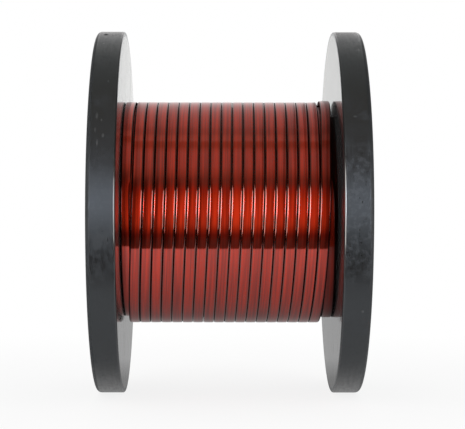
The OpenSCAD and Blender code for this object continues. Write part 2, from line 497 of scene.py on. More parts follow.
@dataclass(frozen=True)
class EnamelledWire(Finish):
    """Flat copper wire under a clear red enamel, with painted shade darkening it towards its
    rounded edges and corners.
    """

    colour: Colour = (0.57, 0.0300, 0.0075)
    streak: Colour = (0.20, 0.0110, 0.0050)
    # Painted shade: the strip's colour falls to the edge colour towards its rounded edges and to
    # the corner colour at its corners.
    edge: Colour = (0.160, 0.0190, 0.0090)
    corner: Colour = (0.130, 0.0065, 0.0020)
    roughness: float = 0.06
    matt: float = 0.55
    # How much of the corners' painted shade covers the whole wire, for layers that lie in shade.
    shade: float = 0.0
    # Where along the axis, in millimetres, the painted shade beside the right flange begins.
    flange_shade_begins: float = 59.2
    relief: float = 0.00002
    lines: Grain = (1.0, 2.0, 0.5)
    fine_lines: Grain = (1.0, 2.0, 0.6)
    drift: Grain = (1.0, 3.0, 0.6)

    def paint(self, graph: Graph) -> dict:
        """Paints the finish.

        Args:
            graph: The material's nodes.

        Returns:
            The values and links of the shader's sockets.
        """
        along = graph.attribute("along")
        across = graph.attribute("across")
        lines = graph.noise(graph.point(along * 14.0, across * 2.2, 0.0), self.lines)
        fine = graph.noise(graph.point(along * 30.0, across * 6.0, 3.0), self.fine_lines)
        drift = graph.noise(graph.point(along * 5.0, 0.0, 7.0), self.drift)
        streaks = (lines * 0.7 + fine * 0.3).rising(0.38, 0.62)
        edge = graph.attribute("corner")
        # Painted shade: the corners, and all of a layer in shade, take the dark corner colour, get
        # rougher and lose their coat.
        deep = 1 - (1 - edge.rising(0.52, 0.72)) * (1 - self.shade)
        body = graph.mix(streaks * 0.6 + (drift - 0.39), self.colour, self.streak)
        body = graph.mix(edge.rising(0.05, 0.30), body, self.edge)
        x, _, angle = graph.polar()
        # Painted shade beside the right flange: past that place the wire's colour and coat darken,
        # most from the front upwards; bare is the share that stays unshaded.
        painted_flange_shade = x.rising(self.flange_shade_begins, self.flange_shade_begins + 1) * (0.45 + 0.55 * angle.rising(-0.35, -0.05))
        bare = 1 - painted_flange_shade * 0.42
        flat = edge.rising(0.3, 0.0)
        clear = graph.facing().rising(0.012, 0.040) * 0.42
        coat = clear + (0.60 - clear) * edge.rising(0.05, 0.20)
        return {
            "Base Color": graph.mix(deep, graph.scaled(body, bare), self.corner),
            "Metallic": 1.0,
            "Roughness": self.roughness + fine * 0.05 + deep * self.matt,
            "Coat Weight": (1 - deep) * bare * coat,
            "Coat Roughness": 0.03,
            "Coat IOR": 2.0,
            "Normal": graph.bump((lines * 0.8 + fine * 0.2) * flat, self.relief),
        }


@dataclass(frozen=True)
class BareCopper(Finish):
    """The cut end of the wire."""

    colour: Colour = (0.80, 0.39, 0.26)
    scored: Colour = (0.42, 0.17, 0.11)
    relief: float = 0.00004
    saw_marks: Grain = (2500.0, 3.0, 0.7)

    def paint(self, graph: Graph) -> dict:
        """Paints the finish.

        Args:
            graph: The material's nodes.

        Returns:
            The values and links of the shader's sockets.
        """
        marks = graph.noise(graph.position(), self.saw_marks)
        return {
            "Base Color": graph.mix(marks, self.colour, self.scored),
            "Metallic": 1.0,
            "Roughness": 0.3 + marks * 0.15,
            "Normal": graph.bump(marks, self.relief),
        }


@dataclass(frozen=True)
class TurnedSteel(Finish):
    """Steel with the fine rings that a lathe leaves."""

    colour: Colour = (0.37, 0.375, 0.38)
    dull: Colour = (0.22, 0.215, 0.21)
    roughness: float = 0.25
    relief: float = 0.00003
    lathe_rings: Grain = (1.0, 3.0, 0.6)
    stains: Grain = (120.0, 4.0, 0.6)

    def paint(self, graph: Graph) -> dict:
        """Paints the finish.

        Args:
            graph: The material's nodes.

        Returns:
            The values and links of the shader's sockets.
        """
        x, radius, angle = graph.polar()
        rings = graph.noise(graph.point(x * 3.0, radius * 3.0, angle * 0.4), self.lathe_rings)
        stains = graph.noise(graph.position(), self.stains).rising(0.5, 0.75)
        return {
            "Base Color": graph.mix(stains * 0.7, self.colour, self.dull),
            "Metallic": 1.0,
            "Roughness": self.roughness + stains * 0.15 + rings * 0.1,
            "Normal": graph.bump(rings, self.relief),
        }


@dataclass(frozen=True)
class ZincPlate(Finish):
    """Zinc plated steel with a faint yellow cast."""

    colour: Colour = (0.60, 0.59, 0.54)
    cloudy: Colour = (0.42, 0.42, 0.42)
    roughness: float = 0.28
    relief: float = 0.00003
    clouds: Grain = (220.0, 4.0, 0.65)
    grain: Grain = (2600.0, 2.0, 0.5)

    def paint(self, graph: Graph) -> dict:
        """Paints the finish.

        Args:
            graph: The material's nodes.

        Returns:
            The values and links of the shader's sockets.
        """
        place = graph.position()
        clouds = graph.noise(place, self.clouds)
        grain = graph.noise(place, self.grain)
        return {
            "Base Color": graph.mix(clouds.rising(0.35, 0.7), self.colour, self.cloudy),
            "Metallic": 1.0,
            "Roughness": self.roughness + clouds * 0.14,
            "Normal": graph.bump(clouds * 0.6 + grain * 0.4, self.relief),
        }


@dataclass(frozen=True)
class Paper(Finish):
    """Brown kraft paper or paper tape."""

    colour: Colour = (0.46, 0.30, 0.155)
    fibre: Colour = (0.36, 0.22, 0.11)
    crepe: float = 0.35
    relief: float = 0.00025
    fibres: Grain = (700.0, 5.0, 0.7)
    creases: Grain = (1.0, 3.0, 0.6)

    def paint(self, graph: Graph) -> dict:
        """Paints the finish.

        Args:
            graph: The material's nodes.

        Returns:
            The values and links of the shader's sockets.
        """
        x, radius, angle = graph.polar()
        fibres = graph.noise(graph.position(), self.fibres)
        creases = graph.noise(graph.point(x * 0.35, radius * 0.2, angle * 95.0), self.creases)
        return {
            "Base Color": graph.mix(fibres * 0.6 + creases * 0.4, self.colour, self.fibre),
            "Roughness": 0.62 + fibres * 0.15,
            "IOR": 1.45,
            "Normal": graph.bump(creases * self.crepe + fibres * 0.15, self.relief),
        }


class Finishes(Enum):
    """The finishes on this spool."""

    FLANGE = MouldedPlastic("flange_black_plastic")
    BARREL = MouldedPlastic("barrel_black_plastic", roughness=0.4)
    WIRE = EnamelledWire("red_enamelled_wire")
    # Shaded copies of the wire for the layer underneath and the core: painted shade darkens all of
    # them, as they lie in shade.
    INNER_WIRE = EnamelledWire("inner_enamelled_wire_painted_shade", corner=(0.05, 0.004, 0.002), shade=0.55)
    CORE = EnamelledWire(
        "core_enamelled_wire_painted_shade", corner=(0.030, 0.003, 0.002), roughness=0.4, shade=0.9
    )
    COPPER = BareCopper("bare_copper_end")
    BUSH = TurnedSteel("turned_steel")
    TUBE = TurnedSteel("tube_steel", colour=(0.38, 0.385, 0.39), roughness=0.35)
    ZINC = ZincPlate("zinc_plate")
    ROD = ZincPlate("rod_steel", colour=(0.5, 0.5, 0.49))
    PAPER = Paper("kraft_paper", crepe=0.1)
    TAPE = Paper("paper_tape", colour=(0.60, 0.43, 0.225), fibre=(0.50, 0.33, 0.165))


# ---------------------------------------------------------------------------------------------
# Mesh tools
# ---------------------------------------------------------------------------------------------


class Piece:
    """A mesh in the making, in millimetres, and the object that it becomes."""

    def __init__(self, name: str) -> None:
        """Starts an empty piece.

        Args:
            name: The object's name.
        """
        self.name = name
        self.points: list[Sequence[float]] = []
        self.faces: list[Sequence[int]] = []
        self.numbers: dict[str, list[float]] = {}

    def add(self, points: Iterable[Sequence[float]], faces: Iterable[Sequence[int]]) -> None:
        """Adds a closed part.

        Args:
            points: Its points.
            faces: Its faces, which count from its own first point.
        """
        start = len(self.points)
        self.points.extend(points)
        self.faces.extend([start + i for i in face] for face in faces)

    def sweep(self, rings: np.ndarray, caps: bool = True) -> None:
        """Adds a skin over rings of points.

        Args:
            rings: Points by ring, by place in the ring, by coordinate.
            caps: True closes the ends, and False joins the last ring to the first.
        """
        count, sides = rings.shape[:2]
        last = count - 1 if caps else count
        faces = []
        for i in range(last):
            a, b = i * sides, (i + 1) % count * sides
            for j in range(sides):
                k = (j + 1) % sides
                faces.append((a + j, a + k, b + k, b + j))
        if caps:
            faces.append(tuple(range(sides - 1, -1, -1)))
            faces.append(tuple(range((count - 1) * sides, count * sides)))
        self.add(rings.reshape(-1, 3).tolist(), faces)

    def make(
        self,
        finish: Finishes,
        sharp: float = 32.0,
        place: Optional[Callable[[Sequence[float]], Sequence[float]]] = None,
    ) -> bpy.types.Object:
        """Makes the object.

        Args:
            finish: What it is dressed in.
            sharp: Edges that turn by more than this many degrees stay sharp.
            place: Moves a point from the piece's own axes to the frame's.

        Returns:
            The new object, linked to the scene.
        """
        points = [place(p) for p in self.points] if place else self.points
        mesh = bpy.data.meshes.new(self.name)
        mesh.from_pydata((np.array(points) * MM).tolist(), [], self.faces)
        tidy = bmesh.new()
        tidy.from_mesh(mesh)
        bmesh.ops.recalc_face_normals(tidy, faces=tidy.faces)
        tidy.to_mesh(mesh)
        tidy.free()
        for name, values in self.numbers.items():
            mesh.attributes.new(name, "FLOAT", "POINT").data.foreach_set("value", values)
        return dress_mesh(self.name, mesh, finish, sharp)


def dress_mesh(
    name: str, mesh: bpy.types.Mesh, finish: Finishes, sharp: float
) -> bpy.types.Object:
    """Shades a mesh smooth up to an angle and links it as an object.

    Args:
        name: The object's name.
        mesh: Its mesh, in metres.
        finish: What it is dressed in.
        sharp: Edges that turn by more than this many degrees stay sharp.

    Returns:
        The new object.
    """
    mesh.polygons.foreach_set("use_smooth", [True] * len(mesh.polygons))
    mesh.set_sharp_from_angle(angle=math.radians(sharp))
    mesh.materials.append(finish.value.material())
    made = bpy.data.objects.new(name, mesh)
    bpy.context.scene.collection.objects.link(made)
    weigh = made.modifiers.new("even_shading", "WEIGHTED_NORMAL")
    weigh.keep_sharp = True
    return made


def hand_over(made: bpy.types.Object, slot: str, *nodes: str) -> bpy.types.Object:
    """Fixes a piece to the spool.

    Args:
        made: The piece.
        slot: The material slot that it belongs to. Not used.
        nodes: The solids that it stands for.

    Returns:
        The same piece.
    """
    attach(made, BODY)
    if nodes:
        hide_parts(*nodes)
    return made


class Assembly:
    """A part of the spool that builds and dresses its own pieces."""

    def build(self) -> list[bpy.types.Object]:
        """Builds the pieces and gives them back."""
        raise NotImplementedError


@dataclass
class SidePart(Assembly):
    """A part of the left side, -1, or of the right side, 1.

    Its own Z axis points outwards from the flange's face on the winding side.
    """

    side: int

    def named(self, kind: str) -> str:
        """The part's name with its side."""
        return f"left_{kind}" if self.side < 0 else f"right_{kind}"

    def place(self, point: Sequence[float]) -> Point3:
        """Moves a point from the part's axes to the frame's."""
        x, y, z = point
        return self.side * (HALF_TRAVERSE + z), y, -self.side * x


def rounded(corners: Sequence[Point3], steps: int = 4) -> list[Point2]:
    """Rounds the corners of a closed outline.

    Args:
        corners: (x, y, radius) of each corner, in order.
        steps: Short sides that each arc is made of.

    Returns:
        The outline's points.
    """
    outline = []
    count = len(corners)
    for i, (x, y, radius) in enumerate(corners):
        here = Vector((x, y))
        before = (Vector(corners[i - 1][:2]) - here).normalized()
        after = (Vector(corners[(i + 1) % count][:2]) - here).normalized()
        half = before.angle(after) / 2
        if radius <= 0:
            outline.append((x, y))
            continue
        reach = radius / math.tan(half)
        middle = here + (before + after).normalized() * (radius / math.sin(half))
        first = here + before * reach - middle
        turn = math.pi - 2 * half
        side = 1 if before.cross(after) < 0 else -1
        for k in range(steps + 1):
            c, s = math.cos(turn * k / steps), side * math.sin(turn * k / steps)
            outline.append((
                middle.x + first.x * c - first.y * s,
                middle.y + first.x * s + first.y * c,
            ))
    return outline


def turned(outline: Sequence[Point2], segments: int) -> np.ndarray:
    """Turns a closed half section round the Z axis.

    Args:
        outline: (radius, height) points.
        segments: Steps round the axis.

    Returns:
        Rings of points, for a sweep without caps.
    """
    section = np.array(outline)
    angles = np.arange(segments) * (2 * math.pi / segments)
    rings = np.empty((segments, len(section), 3))
    rings[:, :, 0] = np.cos(angles)[:, None] * section[None, :, 0]
    rings[:, :, 1] = np.sin(angles)[:, None] * section[None, :, 0]
    rings[:, :, 2] = section[None, :, 1]
    return rings


def direction(angle: float) -> Point2:
    """The cosine and the sine of an angle in degrees."""
    return math.cos(math.radians(angle)), math.sin(math.radians(angle))


def on_circle(angle: float) -> Point2:
    """A point on the circle of the tie rods and the drive holes."""
    c, s = direction(angle)
    return ROD_CIRCLE * c, ROD_CIRCLE * s


def round_axis(x: np.ndarray, radius: np.ndarray, turn: np.ndarray) -> np.ndarray:
    """Points at places along the axis, distances from it and angles round it in radians."""
    return np.stack([x, -radius * np.cos(turn), radius * np.sin(turn)], axis=-1)


def circle(radius: float, segments: int, centre: Point2 = (0.0, 0.0)) -> list[Point2]:
    """Points of a circle.

    Args:
        radius: Its radius.
        segments: How many points it has.
        centre: Its middle.

    Returns:
        The points, in order.
    """
    step = 2 * math.pi / segments
    return [
        (centre[0] + radius * math.cos(i * step), centre[1] + radius * math.sin(i * step))
        for i in range(segments)
    ]


# ---------------------------------------------------------------------------------------------
# Stepped mouldings
# ---------------------------------------------------------------------------------------------


@dataclass(frozen=True)
class Patch:
    """An area of a moulding that has its own top, its own underside or nothing at all.

    A disc has a radius, and a bar has a length along its angle and a width.
    """

    radius: float = 0.0
    centre: Point2 = (0.0, 0.0)
    angle: float = 0.0
    reach: Point2 = (0.0, 0.0)
    width: float = 0.0
    segments: int = 48
    top: Optional[float] = None
    raise_to: Optional[float] = None
    under: Optional[float] = None
    hole: bool = False

    def outline(self) -> list[Point2]:
        """The patch's outline in the plane.

        Returns:
            Its corners, in order.
        """
        if self.radius:
            return circle(self.radius, self.segments, self.centre)
        c, s = direction(self.angle)
        corners = [
            (self.reach[0], -self.width / 2), (self.reach[1], -self.width / 2),
            (self.reach[1], self.width / 2), (self.reach[0], self.width / 2),
        ]
        return [(u * c - v * s, u * s + v * c) for u, v in corners]

    def covers(self, places: np.ndarray) -> np.ndarray:
        """Tells which places lie inside the patch.

        Args:
            places: Points of the plane.

        Returns:
            True for each that lies inside.
        """
        x, y = places[:, 0], places[:, 1]
        if self.radius:
            chord = math.cos(math.pi / self.segments)
            away = np.hypot(x - self.centre[0], y - self.centre[1])
            return away < self.radius * (1 + chord) / 2
        c, s = direction(self.angle)
        u, v = x * c + y * s, y * c - x * s
        return (u > self.reach[0]) & (u < self.reach[1]) & (abs(v) < self.width / 2)


class Moulding:
    """A solid made of patches with flat tops and undersides and upright walls between them."""

    # Points closer than SNAP become one, and faces that turn by less than FLAT are joined.
    SNAP: ClassVar[float] = 0.02
    FLAT: ClassVar[float] = math.radians(0.2)

    def __init__(self, patches: Sequence[Patch]) -> None:
        """Keeps the patches, in the order in which they are laid."""
        self.patches = patches

    def solid(self) -> bmesh.types.BMesh:
        """Builds the closed solid.

        Returns:
            Its mesh, with flat areas joined, before any edge is rounded.
        """
        plane, triangles = self._plane()
        middles = plane[triangles].mean(axis=1)
        low, high, there = self._heights(middles)
        levels: list[set[float]] = [set() for _ in plane]
        for t, corners in enumerate(triangles):
            if there[t]:
                for v in corners:
                    levels[v].update((low[t], high[t]))
        sides = {}
        for t, corners in enumerate(triangles):
            for i in range(3):
                sides[corners[i], corners[(i + 1) % 3]] = t
        mesh = bmesh.new()
        made: dict[tuple[int, float], bmesh.types.BMVert] = {}

        def vertex(v: int, z: float) -> bmesh.types.BMVert:
            """The vertex over a point of the plane.

            Args:
                v: The point's number.
                z: The height.

            Returns:
                The vertex, made once for each place.
            """
            if (v, z) not in made:
                made[v, z] = mesh.verts.new((plane[v][0], plane[v][1], z))
            return made[v, z]

        def wall(a: int, b: int, bottom: float, top: float) -> None:
            """Adds an upright face over one side of a triangle.

            Args:
                a: The point where the side begins.
                b: The point where it ends.
                bottom: The face's lowest height.
                top: Its highest.
            """
            up = [z for z in sorted(levels[b]) if bottom <= z <= top]
            down = [z for z in sorted(levels[a], reverse=True) if bottom <= z <= top]
            mesh.faces.new([vertex(b, z) for z in up] + [vertex(a, z) for z in down])

        for t, corners in enumerate(triangles):
            if not there[t]:
                continue
            mesh.faces.new([vertex(v, high[t]) for v in corners])
            mesh.faces.new([vertex(v, low[t]) for v in reversed(corners)])
            for i in range(3):
                a, b = corners[i], corners[(i + 1) % 3]
                n = sides.get((b, a))
                if n is None or not there[n]:
                    wall(a, b, low[t], high[t])
                    continue
                if high[n] < high[t]:
                    wall(a, b, max(low[t], high[n]), high[t])
                if low[n] > low[t]:
                    wall(a, b, low[t], min(high[t], low[n]))
        bmesh.ops.dissolve_limit(
            mesh, angle_limit=self.FLAT, use_dissolve_boundaries=False,
            verts=mesh.verts, edges=mesh.edges, delimit=set(),
        )
        return mesh

    def _plane(self) -> tuple[np.ndarray, list[tuple[int, ...]]]:
        """Cuts the plane into triangles along every outline.

        Returns:
            The points and the triangles.
        """
        points, edges = [], []
        for patch in self.patches:
            outline = patch.outline()
            first, count = len(points), len(outline)
            points += [Vector(p) for p in outline]
            edges += [(first + i, first + (i + 1) % count) for i in range(count)]
        found = delaunay_2d_cdt(points, edges, [], 0, self.SNAP)
        return np.array([tuple(v) for v in found[0]]), [tuple(f) for f in found[2]]

    def _heights(self, places: np.ndarray) -> tuple[np.ndarray, np.ndarray, np.ndarray]:
        """Lays the patches on each other.

        Args:
            places: Points of the plane.

        Returns:
            The underside and the top at each place, and whether there is anything.
        """
        low = np.zeros(len(places))
        high = np.zeros(len(places))
        there = np.zeros(len(places), bool)
        for patch in self.patches:
            inside = patch.covers(places)
            if patch.hole:
                there[inside] = False
                continue
            there |= inside
            if patch.top is not None:
                high[inside] = patch.top
            if patch.raise_to is not None:
                high[inside] = np.maximum(high[inside], patch.raise_to)
            if patch.under is not None:
                low[inside] = patch.under
        return low, high, there


@dataclass
class Flange(SidePart):
    """A moulded flange: rim, web, ribs, hub, bosses and seats, with rounded edges."""

    radius: float = FLANGE_RADIUS
    rim_wall: float = 6.5
    thickness: float = 18.7
    web: float = 4.5
    hub_radius: float = 34.0
    outer_ribs: int = 24
    outer_ribs_from: float = 61.0
    rib_bite: float = 1.0
    inner_ribs: int = 8
    inner_rib_reach: Point2 = (33.0, 60.5)
    rib_width: float = 2.6
    rib_top: float = 16.6
    ring_top: float = 17.2
    ring_radii: Point2 = (59.5, 62.5)
    seat_radii: Point2 = (58.45, 62.55)
    seat_depth: float = 2.5
    spigot: Point2 = (54.45, -8.0)
    tube_seat: Point2 = (22.05, 3.0)
    bush_radius: float = 19.0
    collar: Point2 = (25.05, 15.4)
    boss: Point2 = (11.0, 8.0)
    rod_hole: float = 4.3
    drive: Point2 = (8.0, 11.0)
    slot: Point2 = (63.8, 70.2)
    slot_width: float = 8.5

    # Roundings: the radius, and the short sides in the arc.
    tread_round: tuple[float, int] = (3.0, 8)
    face_round: tuple[float, int] = (1.2, 5)
    lip_round: tuple[float, int] = (1.2, 4)
    small_round: tuple[float, int] = (0.45, 2)

    # Sides of the polygons that stand for circles.
    RIM_SIDES: ClassVar[int] = 288
    RING_SIDES: ClassVar[int] = 192
    HUB_SIDES: ClassVar[int] = 120
    COLLAR_SIDES: ClassVar[int] = 96
    BORE_SIDES: ClassVar[int] = 72
    DRIVE_SIDES: ClassVar[int] = 40
    ROD_SIDES: ClassVar[int] = 24

    # How near a corner counts as on an edge, and how far faces turn at an edge that is rounded.
    NEAR: ClassVar[float] = 0.2
    CREASE: ClassVar[float] = math.radians(50)

    def ribs(self, count: int, offset: float, reach: Point2) -> list[Patch]:
        """Evenly spread ribs.

        Args:
            count: How many there are.
            offset: Where the first one stands, in parts of their spacing.
            reach: How far from the axis they begin and end.

        Returns:
            Their patches.
        """
        return [
            Patch(angle=FULL_TURN * (i + offset) / count, width=self.rib_width,
                  reach=reach, raise_to=self.rib_top)
            for i in range(count)
        ]

    def patches(self) -> list[Patch]:
        """Lays the flange out.

        Returns:
            Its patches, each over the ones before it.
        """
        rim_inside = self.radius - self.rim_wall
        ring, seat = self.ring_radii, self.seat_radii
        areas = [
            Patch(radius=self.radius, segments=self.RIM_SIDES, top=self.thickness, under=0.0),
            Patch(radius=rim_inside, segments=self.RIM_SIDES, top=self.web),
            *self.ribs(self.outer_ribs, 0.0, (self.outer_ribs_from, rim_inside + self.rib_bite)),
            Patch(radius=ring[1], segments=self.RING_SIDES, top=self.ring_top),
            Patch(radius=seat[1], segments=self.RING_SIDES, under=self.seat_depth),
            Patch(radius=ring[0], segments=self.RING_SIDES, top=self.web),
            Patch(radius=seat[0], segments=self.RING_SIDES, under=self.spigot[1]),
            Patch(radius=self.spigot[0], segments=self.RING_SIDES, under=0.0),
            *self.ribs(self.inner_ribs, 0.5, self.inner_rib_reach),
            Patch(radius=self.hub_radius, segments=self.HUB_SIDES, top=self.thickness),
        ]
        for angle in ROD_ANGLES:
            centre = on_circle(angle)
            areas += [
                Patch(radius=self.boss[0], centre=centre, raise_to=self.boss[1]),
                Patch(radius=self.rod_hole, centre=centre, segments=self.ROD_SIDES, hole=True),
            ]
        for angle in DRIVE_ANGLES:
            centre = on_circle(angle)
            areas += [
                Patch(radius=self.drive[1], centre=centre, raise_to=self.ring_top),
                Patch(radius=self.drive[0], centre=centre, segments=self.DRIVE_SIDES, hole=True),
            ]
        return areas + [
            Patch(radius=self.collar[0], segments=self.COLLAR_SIDES, top=self.collar[1]),
            Patch(radius=self.tube_seat[0], segments=self.BORE_SIDES, under=self.tube_seat[1]),
            Patch(radius=self.bush_radius, segments=self.BORE_SIDES, hole=True),
            Patch(angle=SLOT_ANGLE, reach=self.slot, width=self.slot_width, hole=True),
        ]

    def build(self) -> list[bpy.types.Object]:
        """Builds the flange and rounds its edges, the rim's before the small ones.

        Returns:
            The flange.
        """
        mesh = Moulding(self.patches()).solid()
        rim, tread = self.radius - self.rim_wall, self.radius - self.rim_wall / 2
        near, low, high = self.NEAR, self.NEAR / 2, self.thickness - self.NEAR
        self._round(mesh, self.tread_round, lambda r, z: r > tread and z > high)
        self._round(mesh, self.face_round, lambda r, z: r > tread and z < low)
        self._round(mesh, self.lip_round, lambda r, z: abs(r - rim) < near and z > high)
        self._round(mesh, self.small_round, lambda r, z: r < rim - near and z > low)
        for vertex in mesh.verts:
            vertex.co = Vector(self.place(vertex.co)) * MM
        node = self.named("flange")
        name = f"{node}_moulding"
        shape = bpy.data.meshes.new(name)
        mesh.to_mesh(shape)
        mesh.free()
        made = dress_mesh(name, shape, Finishes.FLANGE, sharp=40.0)
        return [hand_over(made, "flange_plastic", node)]

    def _round(
        self,
        mesh: bmesh.types.BMesh,
        rounding: tuple[float, int],
        wanted: Callable[[float, float], bool],
    ) -> None:
        """Rounds the sharp edges whose two ends are both wanted.

        Args:
            mesh: The solid.
            rounding: The radius, and the short sides in each arc.
            wanted: Chooses by the distance from the axis and the height.
        """
        radius, steps = rounding
        chosen = [
            e for e in mesh.edges
            if len(e.link_faces) == 2 and e.calc_face_angle(0.0) > self.CREASE
            and all(wanted(math.hypot(v.co.x, v.co.y), v.co.z) for v in e.verts)
        ]
        bmesh.ops.bevel(
            mesh, geom=chosen, offset=radius, offset_type="OFFSET", segments=steps,
            profile=0.5, affect="EDGES", clamp_overlap=False, loop_slide=True,
        )


# ---------------------------------------------------------------------------------------------
# Winding
# ---------------------------------------------------------------------------------------------


@dataclass
class Winding(Assembly):
    """The flat wire of the two outermost layers, and the core of the layers under them.

    The route is a formula of the angle: negative angles belong to the layer underneath, which
    was wound towards the left flange, and positive ones to the outer layer on top of it. What
    belongs to the layer underneath has low in its name.
    """

    half: float = HALF_TRAVERSE
    width: float = 7.06
    thickness: float = 3.3
    corner: Point2 = (1.10, 0.66)
    crown: float = 0.03
    lean: float = 0.40
    outer_radius: float = 76.7
    pitch: float = 7.256
    jog: float = 3.55
    first_gap: float = 4.88
    side_gap: float = 3.80
    under_gap: float = 0.9
    last_lift: float = 1.0
    first_push: float = 0.75
    last_push: float = 1.76
    last_turn: float = 18 * FULL_TURN
    end: float = 6685.0
    seam: float = -170.0
    low_start: float = -6990.0
    low_end: float = -100.0
    low_pitch: float = 7.124
    low_gap: float = 0.35
    wall_gap: float = 0.2
    tuck: float = 2.4
    sunk: float = 4.0
    core_half: float = HALF_TRAVERSE - 0.1
    core_bore: float = 63.6
    core_radius: float = 69.2
    deep_radius: float = 66.8
    crevice: float = 3.9
    groove: Point2 = (0.5, 1.2)

    # Where the route changes: the angle at which a step begins, and the degrees it takes. The
    # jog comes again in each turn, and those of the last turn count from its beginning.
    JOG: ClassVar[Point2] = (-85, 110)
    CLIMB: ClassVar[Point2] = (4, 56)
    FIRST_PUSH: ClassVar[Point2] = (150, 150)
    LAST_PUSH: ClassVar[Point2] = (20, 60)
    LAST_LIFT: ClassVar[Point2] = (20, 70)
    LAST_FALL: ClassVar[Point2] = (95, 60)
    SETTLE: ClassVar[Point2] = (-140, 60)
    SURFACE: ClassVar[Point2] = (-6990, 60)
    TUCK_IN: ClassVar[Point2] = (-6836, 30)
    TUCK_OUT: ClassVar[Point2] = (-6620, 60)

    # The wobble's span, its number of knots and its random seed.
    WOBBLE: ClassVar[Point2] = (-7300, 14100)
    KNOTS: ClassVar[int] = 135
    SEED: ClassVar[int] = 7

    # Short sides in the lower corners, the upper corners and the outer face of the section.
    LOWER: ClassVar[int] = 3
    UPPER: ClassVar[int] = 8
    FACE: ClassVar[int] = 8

    # Degrees between the rings of the outer wire and of the one underneath, and the core's sides.
    OUTER_STEP: ClassVar[float] = 2.5
    INNER_STEP: ClassVar[float] = 4.0
    CORE_SIDES: ClassVar[int] = 144

    # Rings of the bare end: degrees past the wire's end, and size.
    CUT: ClassVar[tuple[Point2, ...]] = ((-0.15, 0.97), (0.03, 0.97), (0.08, 0.93))

    @staticmethod
    def ease(t: np.ndarray) -> np.ndarray:
        """A smooth step from 0 to 1."""
        u = np.clip(t, 0.0, 1.0)
        return u * u * (3 - 2 * u)

    @classmethod
    def step(cls, a: np.ndarray, span: Point2) -> np.ndarray:
        """A smooth step from 0 to 1 over a span, which is where it begins and how long it is."""
        return cls.ease((a - span[0]) / span[1])

    def jogs(self, a: np.ndarray) -> np.ndarray:
        """Steps aside made so far, one in each turn."""
        turn = np.floor((a - self.JOG[0]) / FULL_TURN)
        return turn + self.step(a - FULL_TURN * turn, self.JOG)

    def along_axis(self, a: np.ndarray) -> np.ndarray:
        """Leads the wire along the axis.

        Args:
            a: Angles of the route.

        Returns:
            The place of the wire's middle at each.
        """
        first_x = self.first_gap - self.half
        low_x = self.side_gap - self.half
        drift = self.pitch - self.jog
        outer = first_x + drift * (a - TOP) / FULL_TURN + self.jog * (self.jogs(a) - 1)
        outer += self.last_push * self.step(a - self.last_turn, self.LAST_PUSH)
        outer -= self.first_push * (1 - self.step(a, self.FIRST_PUSH))
        under = low_x + self.low_pitch * np.maximum(self.low_end - a, 0) / FULL_TURN
        under = np.minimum(under, self.half - self.width / 2 - self.wall_gap)
        under -= self.tuck * self.step(a, self.TUCK_IN) * (1 - self.step(a, self.TUCK_OUT))
        return np.where(a < self.low_end, under, np.maximum(outer, low_x))

    def inner_face(self, a: np.ndarray) -> np.ndarray:
        """Leads the wire up and down.

        Args:
            a: Angles of the route.

        Returns:
            The radius of the wire's inner face at each.
        """
        floor = self.outer_radius - self.thickness
        climb = (self.thickness + self.under_gap) * (1 - self.step(a, self.CLIMB))
        past = a - self.last_turn
        lift = self.last_lift * (self.step(past, self.LAST_LIFT) - self.step(past, self.LAST_FALL))
        rest = (self.under_gap - self.low_gap) * (1 - self.step(a, self.SETTLE))
        sink = self.sunk * (1 - self.step(a, self.SURFACE))
        return floor - climb + lift + rest - sink

    def section(self) -> tuple[np.ndarray, np.ndarray]:
        """The wire's section, with rounded corners and a slightly crowned outer face.

        Returns:
            Its points as (across, height), and how far each is into an upper corner, 0 to 1.
        """
        w, t = self.width / 2, self.thickness
        wide, deep = self.corner
        points, corner = [], []

        def arc(x: float, y: float, begin: float, steps: int, upper: bool) -> None:
            """Adds a quarter circle.

            Args:
                x: Its centre's place across the wire.
                y: Its centre's height.
                begin: The angle at which it begins.
                steps: Short sides in it.
                upper: True at the outer face.
            """
            for k in range(steps + 1):
                turn = math.radians(begin + 90 * k / steps)
                points.append((x + wide * math.cos(turn), y + deep * math.sin(turn)))
                outside = k / steps if begin else 1 - k / steps
                corner.append(outside if upper else 1.0)

        arc(-w + wide, deep, 180, self.LOWER, False)
        arc(w - wide, deep, 270, self.LOWER, False)
        arc(w - wide, t - self.crown - deep, 0, self.UPPER, True)
        for k in range(1, self.FACE):
            u = (w - wide) * (1 - 2 * k / self.FACE)
            points.append((u, t - self.crown * (u / (w - wide)) ** 2))
            corner.append(0.0)
        arc(-w + wide, t - self.crown - deep, 90, self.UPPER, True)
        return np.array(points), np.array(corner)

    def wobble(self, a: np.ndarray) -> np.ndarray:
        """Leans the wire over, as each turn lies a little differently.

        Args:
            a: Angles of the route.

        Returns:
            The lean at each, in radians.
        """
        place = (a - self.WOBBLE[0]) / self.WOBBLE[1] * (self.KNOTS - 1)
        knot = np.clip(place.astype(int), 0, self.KNOTS - 2)
        lean = np.random.RandomState(self.SEED).uniform(-1, 1, self.KNOTS)
        blend = self.ease(place - knot)
        return np.radians(self.lean) * (lean[knot] * (1 - blend) + lean[knot + 1] * blend)

    def record(self, made: Piece, reach: np.ndarray) -> None:
        """Gives a swept wire the numbers that its finish reads.

        Args:
            made: The wire.
            reach: How far along it each ring lies, in metres.
        """
        section, corner = self.section()
        across = section[:, 0] / (self.width / 2)
        made.numbers["along"] = np.repeat(reach, len(section)).tolist()
        made.numbers["across"] = np.tile(across, len(reach)).tolist()
        made.numbers["corner"] = np.tile(corner, len(reach)).tolist()

